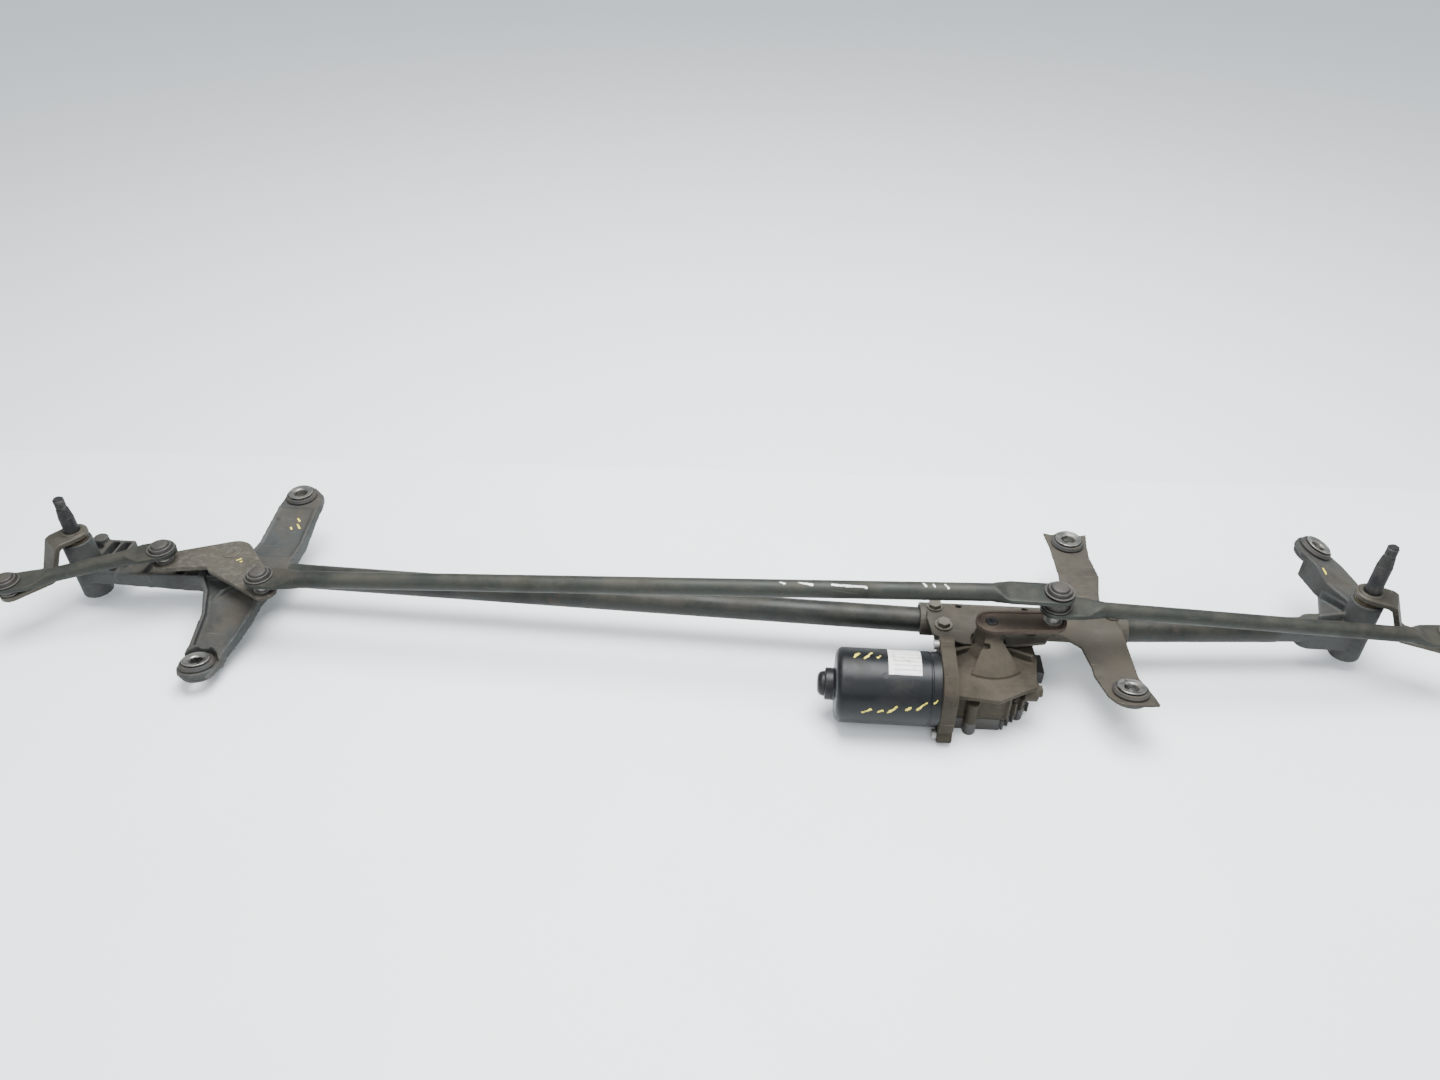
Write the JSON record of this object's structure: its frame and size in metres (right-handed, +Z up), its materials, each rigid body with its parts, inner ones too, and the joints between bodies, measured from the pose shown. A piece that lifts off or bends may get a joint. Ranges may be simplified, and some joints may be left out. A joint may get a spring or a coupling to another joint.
{
  "type": "windshield wiper linkage",
  "caption": "Windshield wiper linkage: tube frame on rubber feet, geared motor, crank, bell crank, ball-jointed links and wiper spindles.",
  "frame": {"origin": "middle of the footprint, on the surface that the linkage lies on", "axes": "+X from the left spindle to the right one, +Y away from the motor, +Z up along the spindles"},
  "size_m": [1.338, 0.2524, 0.138],
  "materials": {
    "cast_aluminium": "die-cast, dusty grey",
    "tube_paint": "dark painted steel tube, dusty",
    "dull_steel": "dull phosphated steel, dusty",
    "zinc_steel": "bright zinc plated",
    "rubber": "black, matt",
    "can_paint": "blue-black enamel",
    "gear_case": "die-cast, stained brown",
    "dark_plastic": "moulded, matt",
    "bronze": "sintered bronze",
    "copper": "copper segments",
    "nylon": "natural nylon",
    "ferrite": "ferrite, dull"
  },
  "bodies": {
    "frame": {"left_bracket": "cast_aluminium", "right_bracket": "cast_aluminium", "frame_tube_left": "tube_paint", "frame_tube_right": "tube_paint", "motor_bracket": "dull_steel", "left_spindle_bush": "bronze", "right_spindle_bush": "bronze", "bell_crank_bush": "bronze", "case_bolt_1": "zinc_steel", "case_bolt_2": "zinc_steel", "tube_bolt_1": "zinc_steel", "tube_bolt_2": "zinc_steel", "motor_can": "can_paint", "magnet_upper": "ferrite", "magnet_lower": "ferrite", "brush_plate": "dark_plastic", "gear_housing": "gear_case", "gearbox_cover": "dark_plastic", "flange_screw_1": "zinc_steel", "flange_screw_2": "zinc_steel", "grommet_left_rear": "rubber", "sleeve_left_rear": "zinc_steel", "grommet_left_front": "rubber", "sleeve_left_front": "zinc_steel", "grommet_right_rear": "rubber", "sleeve_right_rear": "zinc_steel", "grommet_right_front": "rubber", "sleeve_right_front": "zinc_steel", "grommet_right_end": "rubber", "sleeve_right_end": "zinc_steel"},
    "crank": {"crank_arm": "dull_steel", "output_shaft": "zinc_steel", "worm_wheel": "nylon"},
    "armature": {"armature_core": "dull_steel", "commutator": "copper", "worm_shaft": "zinc_steel"},
    "bell_crank": {"bell_crank_plate": "dull_steel", "bell_crank_pin": "zinc_steel", "pivot_circlip": "dull_steel", "bell_crank_ball": "zinc_steel"},
    "drag_link": {"drag_link_rod": "dull_steel", "drag_link_socket_left": "dark_plastic", "drag_link_socket_right": "dark_plastic", "crank_pin_upper": "zinc_steel"},
    "left_spindle": {"left_spindle_shaft": "zinc_steel", "left_lever": "dull_steel", "left_spindle_circlip": "dull_steel", "left_lever_ball": "zinc_steel"},
    "left_link": {"left_link_rod": "dull_steel", "left_link_socket_left": "dark_plastic", "left_link_socket_right": "dark_plastic", "left_link_ball": "zinc_steel"},
    "right_spindle": {"right_spindle_shaft": "zinc_steel", "right_lever": "dull_steel", "right_spindle_circlip": "dull_steel", "right_lever_ball": "zinc_steel"},
    "right_link": {"right_link_rod": "dull_steel", "right_link_socket_left": "dark_plastic", "right_link_socket_right": "dark_plastic", "crank_pin_lower": "zinc_steel"}
  },
  "joints": [
    {"name": "motor_crank", "type": "hinge", "parent": "frame", "child": "crank", "pos_m": [0.24956, -0.04965, 0.078], "axis": [0, 0, -1], "range_deg": [0, 180]},
    {"name": "bell_crank_turn", "type": "hinge", "parent": "frame", "child": "bell_crank", "pos_m": [-0.46694, 0.01575, 0.058], "axis": [0, 0, -1], "range_deg": [0, 94]},
    {"name": "drag_link_turn", "type": "hinge", "parent": "bell_crank", "child": "drag_link", "pos_m": [-0.41515, -0.03426, 0.0745], "axis": [0, 0, 1], "range_deg": [0, 93]},
    {"name": "left_spindle_turn", "type": "hinge", "parent": "frame", "child": "left_spindle", "pos_m": [-0.61394, 0.00775, 0.08], "axis": [0, 0, 1], "range_deg": [0, 88]},
    {"name": "left_link_turn", "type": "hinge", "parent": "left_spindle", "child": "left_link", "pos_m": [-0.65547, -0.04736, 0.063], "axis": [0, 0, -1], "range_deg": [0, 54.1]},
    {"name": "right_spindle_turn", "type": "hinge", "parent": "frame", "child": "right_spindle", "pos_m": [0.59006, 0.00775, 0.081], "axis": [0, 0, -1], "range_deg": [0, 99]},
    {"name": "right_link_turn", "type": "hinge", "parent": "right_spindle", "child": "right_link", "pos_m": [0.65547, -0.02137, 0.064], "axis": [0, 0, 1], "range_deg": [0, 95.3]},
    {"name": "armature_spin", "type": "hinge", "parent": "frame", "child": "armature", "pos_m": [0.18806, -0.09225, 0.036], "axis": [1, 0, 0], "continuous": true}
  ],
  "couplings": [
    {"joint": "bell_crank_turn", "follows": "motor_crank", "ratio": 0.51933},
    {"joint": "drag_link_turn", "follows": "motor_crank", "ratio": 0.51506},
    {"joint": "left_spindle_turn", "follows": "motor_crank", "ratio": 0.48756},
    {"joint": "left_link_turn", "follows": "motor_crank", "ratio": 0.29978},
    {"joint": "right_spindle_turn", "follows": "motor_crank", "ratio": 0.54919},
    {"joint": "right_link_turn", "follows": "motor_crank", "ratio": 0.52873},
    {"joint": "armature_spin", "follows": "motor_crank", "ratio": 63}
  ]
}
